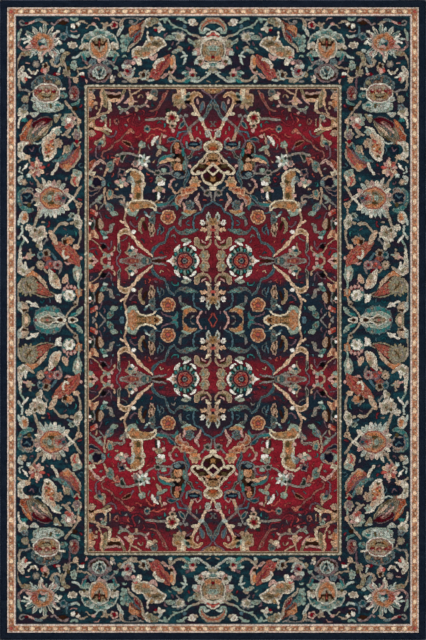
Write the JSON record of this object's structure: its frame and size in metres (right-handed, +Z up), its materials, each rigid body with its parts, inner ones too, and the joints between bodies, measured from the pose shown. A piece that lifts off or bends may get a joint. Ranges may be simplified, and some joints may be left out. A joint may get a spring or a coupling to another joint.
{
  "type": "area rug",
  "caption": "Rectangular machine-woven area rug with cut pile in a bordered floral design, a ground weave, a coated back and a serged edge.",
  "frame": {"origin": "middle of the underside, on the floor", "axes": "+X across the rug to the right, +Y along its length to the far end, +Z up out of the pile"},
  "size_m": [1.6, 2.4, 0.011],
  "materials": {
    "field_pile": "cut pile, matt with a soft sheen",
    "inner_guard_pile": "cut pile, matt",
    "border_pile": "cut pile, matt with a soft sheen",
    "outer_guard_pile": "cut pile, matt",
    "edge_band_pile": "cut pile, matt",
    "weft_yarn": "spun jute",
    "warp_yarn": "spun cotton",
    "back_coating": "latex-sized weave",
    "serging_yarn": "wrapped yarn, low sheen",
    "edge_cord": "twisted cotton"
  },
  "bodies": {
    "root": {"pile_field": "field_pile", "pile_inner_guard": "inner_guard_pile", "pile_main_border": "border_pile", "pile_outer_guard": "outer_guard_pile", "pile_edge_band": "edge_band_pile", "upper_weft": "weft_yarn", "stuffer_warp": "warp_yarn", "lower_weft": "weft_yarn", "back_coating": "back_coating", "side_serging_left": "serging_yarn", "side_serging_right": "serging_yarn", "end_serging_far": "serging_yarn", "end_serging_near": "serging_yarn", "corner_wrap_far_left": "serging_yarn", "corner_wrap_far_right": "serging_yarn", "corner_wrap_near_left": "serging_yarn", "corner_wrap_near_right": "serging_yarn", "side_cord_left": "edge_cord", "side_cord_right": "edge_cord", "end_cord_far": "edge_cord", "end_cord_near": "edge_cord"}
  },
  "joints": []
}
